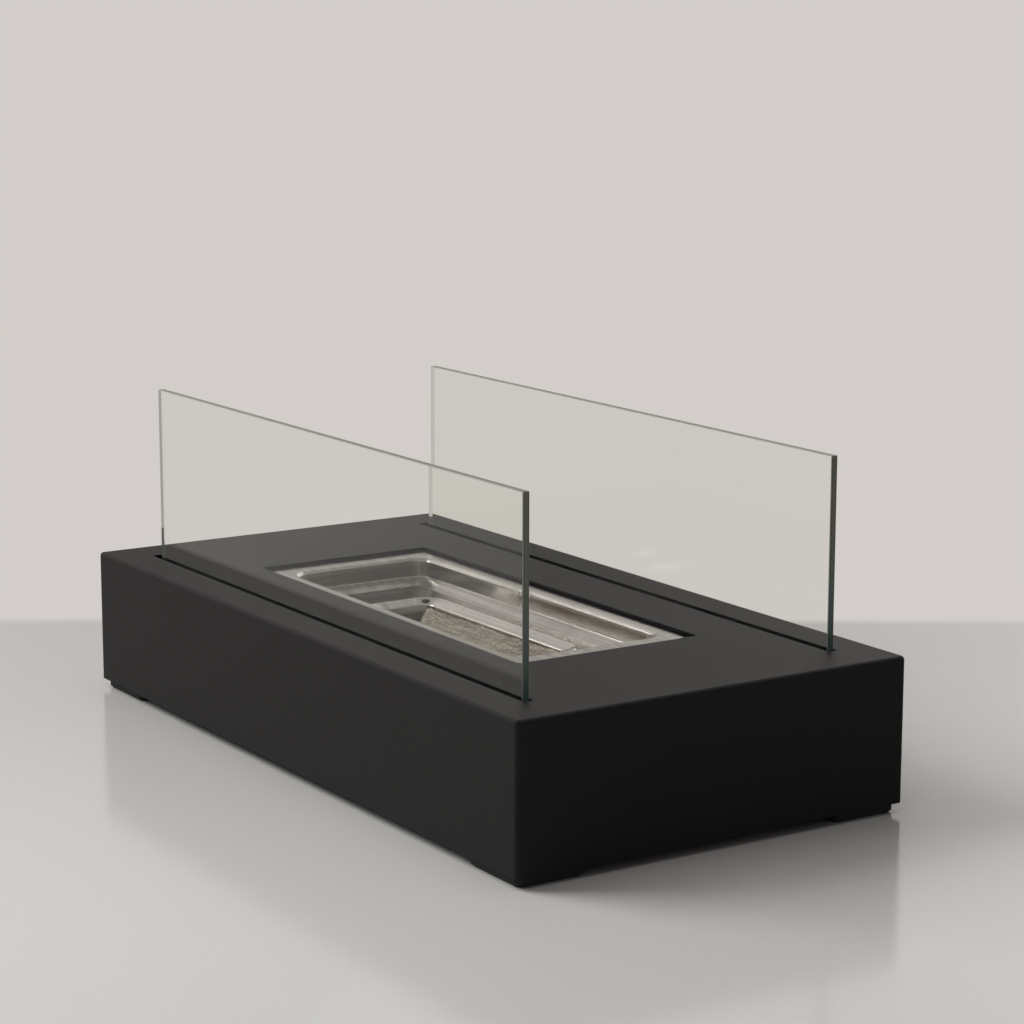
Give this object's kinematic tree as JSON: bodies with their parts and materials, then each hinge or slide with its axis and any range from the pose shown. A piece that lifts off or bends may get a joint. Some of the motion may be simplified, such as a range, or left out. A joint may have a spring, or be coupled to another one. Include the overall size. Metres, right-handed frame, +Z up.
{
  "type": "tabletop fire pit",
  "caption": "Low rectangular black sheet-steel tabletop burner with upright clear glass panels in slots along its long sides, a lift-out stainless steel tray and fuel cup, and corner pads.",
  "frame": {"origin": "on the surface that the feet stand on, under the middle of the housing", "axes": "+X along the long sides to the right, +Y from the front glass panel to the rear one, +Z up"},
  "size_m": [0.35, 0.18, 0.14],
  "materials": {
    "powder_coat": "matt fine-textured black powder coat on folded steel sheet",
    "black_plate": "plain matt black coat on folded steel sheet",
    "clear_glass": "clear toughened float glass with ground green edges",
    "stainless_steel": "pressed stainless steel with fine brushed lines",
    "zinc_steel": "zinc-plated steel",
    "foot_rubber": "matt black rubber",
    "silicone": "dark silicone",
    "ceramic_wool": "loose scorched mineral fibre"
  },
  "bodies": {
    "housing": {"housing_shell": "powder_coat", "bottom_plate": "black_plate", "foot_screws": "zinc_steel", "foot_nuts": "zinc_steel", "bottom_plate_screws": "zinc_steel", "front_glass_channel": "black_plate", "front_glass_cushion": "silicone", "front_burner_rail": "black_plate", "front_left_bracket": "zinc_steel", "front_left_foot": "foot_rubber", "front_right_bracket": "zinc_steel", "front_right_foot": "foot_rubber", "rear_glass_channel": "black_plate", "rear_glass_cushion": "silicone", "rear_burner_rail": "black_plate", "rear_left_bracket": "zinc_steel", "rear_left_foot": "foot_rubber", "rear_right_bracket": "zinc_steel", "rear_right_foot": "foot_rubber", "left_burner_rail": "black_plate", "right_burner_rail": "black_plate"},
    "front_glass": {"front_glass_panel": "clear_glass"},
    "rear_glass": {"rear_glass_panel": "clear_glass"},
    "burner": {"burner_tray": "stainless_steel"},
    "cup": {"fuel_cup": "stainless_steel", "wool_pad": "ceramic_wool"}
  },
  "joints": [
    {"name": "front_glass_lift", "type": "slide", "parent": "housing", "child": "front_glass", "axis": [0, 0, 1], "range_m": [0, 0.03]},
    {"name": "rear_glass_lift", "type": "slide", "parent": "housing", "child": "rear_glass", "axis": [0, 0, 1], "range_m": [0, 0.03]},
    {"name": "burner_lift", "type": "slide", "parent": "housing", "child": "burner", "axis": [0, 0, 1], "range_m": [0, 0.045]},
    {"name": "fuel_cup_lift", "type": "slide", "parent": "burner", "child": "cup", "axis": [0, 0, 1], "range_m": [0, 0.045]}
  ]
}
